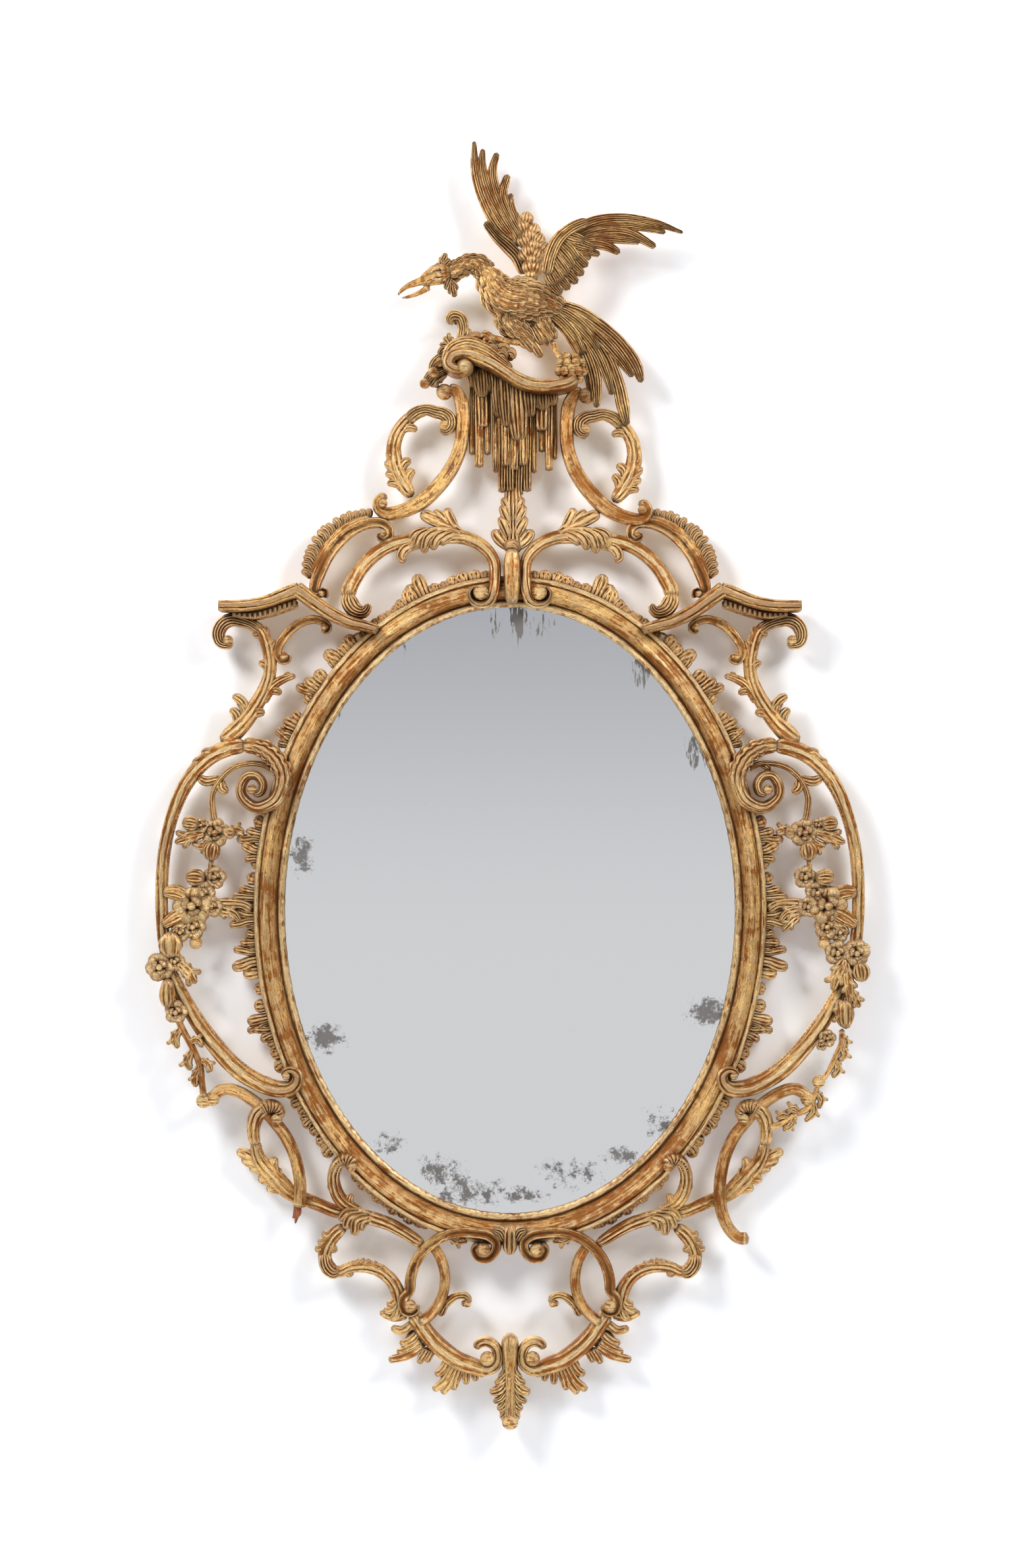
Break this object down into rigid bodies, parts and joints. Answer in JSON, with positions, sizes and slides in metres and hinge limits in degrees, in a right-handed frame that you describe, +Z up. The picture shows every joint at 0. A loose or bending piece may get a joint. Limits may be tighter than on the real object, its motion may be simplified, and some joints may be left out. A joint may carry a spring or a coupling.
{
  "type": "oval wall mirror",
  "caption": "Oval wall mirror in a carved and gilded frame of scrolls, leaves and flower garlands, with a spread-winged bird on its crest; it hangs from rings behind.",
  "frame": {"origin": "on the wall plane, midway between the points where the two hanging rings bear on their hooks", "axes": "+Z up, +Y into the wall, the front faces -Y, +X to the right as seen from the front"},
  "size_m": [0.8648, 0.08, 1.5649],
  "materials": {
    "gilding": "worn water gilding over red-brown bole on carved wood",
    "mirror": "old silvered plate with dark foxing",
    "pine": "bare aged pine",
    "brass": "dull aged brass",
    "iron": "dark oxidised",
    "felt": "felt",
    "bare_wood": "raw red-brown broken wood"
  },
  "bodies": {
    "frame": {"arch_scroll_left": "gilding", "arch_scroll_right": "gilding", "backboard_centre": "pine", "backboard_left": "pine", "backboard_right": "pine", "base_branch_left": "gilding", "base_branch_right": "gilding", "base_clasp": "gilding", "base_pendant": "gilding", "base_ring_left": "gilding", "base_ring_right": "gilding", "base_scroll_left": "gilding", "base_scroll_right": "gilding", "bird_body": "gilding", "bird_legs": "gilding", "bird_tail": "gilding", "bird_wing_far": "gilding", "bird_wing_near": "gilding", "crest_clasp": "gilding", "crest_loop_left": "gilding", "crest_loop_right": "gilding", "crest_scroll_left": "gilding", "crest_scroll_right": "gilding", "drip_rockwork": "gilding", "eave_bracket_left": "gilding", "eave_bracket_right": "gilding", "eave_left": "gilding", "eave_right": "gilding", "garland_left": "gilding", "garland_right": "gilding", "hanger_screws": "iron", "hanger_straps": "brass", "leaf_stem_left": "gilding", "leaf_stem_right": "gilding", "lower_leaf_left": "gilding", "lower_leaf_right": "gilding", "lower_rod_left": "gilding", "lower_rod_right": "gilding", "mirror_plate": "mirror", "oval_frill": "gilding", "oval_moulding_bottom": "gilding", "oval_moulding_left": "gilding", "oval_moulding_right": "gilding", "oval_moulding_top": "gilding", "perch_foliage": "gilding", "perch_ledge": "gilding", "plate_blocks": "pine", "rod_splinter": "bare_wood", "shoulder_scroll_left": "gilding", "shoulder_scroll_right": "gilding", "side_scroll_left": "gilding", "side_scroll_right": "gilding", "turn_button_screws": "iron", "wall_pads": "felt"},
    "hanger_ring_left": {"hanger_ring_left": "brass"},
    "hanger_ring_right": {"hanger_ring_right": "brass"},
    "turn_button_lower_left": {"turn_button_lower_left": "brass"},
    "turn_button_lower_right": {"turn_button_lower_right": "brass"},
    "turn_button_upper_left": {"turn_button_upper_left": "brass"},
    "turn_button_upper_right": {"turn_button_upper_right": "brass"}
  },
  "joints": [
    {"name": "hanger_ring_left_swing", "type": "hinge", "parent": "frame", "child": "hanger_ring_left", "pos_m": [-0.18408, -0.0035, -0.0165], "axis": [-1, 0, 0], "range_deg": [0, 165]},
    {"name": "hanger_ring_right_swing", "type": "hinge", "parent": "frame", "child": "hanger_ring_right", "pos_m": [0.18408, -0.0035, -0.0165], "axis": [-1, 0, 0], "range_deg": [0, 165]},
    {"name": "turn_button_upper_right_turn", "type": "hinge", "parent": "frame", "child": "turn_button_upper_right", "pos_m": [0.26963, -0.0058, -0.1716], "axis": [0, 1, 0], "range_deg": [-90, 90]},
    {"name": "turn_button_upper_left_turn", "type": "hinge", "parent": "frame", "child": "turn_button_upper_left", "pos_m": [-0.26963, -0.0058, -0.1716], "axis": [0, 1, 0], "range_deg": [-90, 90]},
    {"name": "turn_button_lower_left_turn", "type": "hinge", "parent": "frame", "child": "turn_button_lower_left", "pos_m": [-0.26963, -0.0058, -0.50335], "axis": [0, 1, 0], "range_deg": [-90, 90]},
    {"name": "turn_button_lower_right_turn", "type": "hinge", "parent": "frame", "child": "turn_button_lower_right", "pos_m": [0.26963, -0.0058, -0.50335], "axis": [0, 1, 0], "range_deg": [-90, 90]}
  ]
}
